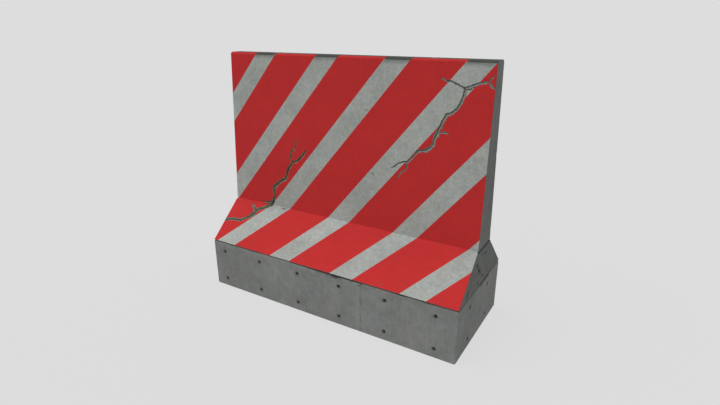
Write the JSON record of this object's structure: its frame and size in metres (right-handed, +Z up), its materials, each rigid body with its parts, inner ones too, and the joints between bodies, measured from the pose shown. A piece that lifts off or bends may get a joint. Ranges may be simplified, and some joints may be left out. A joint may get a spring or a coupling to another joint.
{
  "type": "concrete jersey barrier",
  "caption": "Free-standing concrete traffic barrier with a broad base, a sloped haunch and a thin upright stem, painted with slanted warning stripes.",
  "frame": {"origin": "middle of the ground face", "axes": "+X along the barrier, -Y out of the pictured striped front, +Z up"},
  "size_m": [1.5, 0.6, 1.32],
  "materials": {
    "concrete": "raw grey concrete with form marks, pinholes and stains",
    "red_paint": "satin red masonry paint",
    "pale_paint": "weathered pale grey masonry paint",
    "rebar_steel": "ribbed bar with light rust",
    "socket_steel": "dull zinc plating",
    "sleeve_plastic": "grey extruded tube",
    "spacer_mortar": "pressed mortar"
  },
  "bodies": {
    "root": {"base_block": "concrete", "haunch_block": "concrete", "stem_wall": "concrete", "base_stirrups": "rebar_steel", "base_bottom_bars": "rebar_steel", "base_top_bars": "rebar_steel", "haunch_links": "rebar_steel", "haunch_bars": "rebar_steel", "starter_bars": "rebar_steel", "stem_hairpins": "rebar_steel", "stem_front_bars": "rebar_steel", "stem_back_bars": "rebar_steel", "lifting_socket_left": "socket_steel", "lifting_socket_right": "socket_steel", "lifting_anchor_tail_left": "socket_steel", "lifting_anchor_tail_right": "socket_steel", "form_tie_sleeves": "sleeve_plastic", "end_tie_sockets_left": "sleeve_plastic", "end_tie_sockets_right": "sleeve_plastic", "cage_spacer_blocks": "spacer_mortar", "stem_wheel_spacers": "spacer_mortar", "front_red_stripes": "red_paint", "front_pale_stripes": "pale_paint", "back_red_stripes": "red_paint", "back_pale_stripes": "pale_paint"}
  },
  "joints": []
}
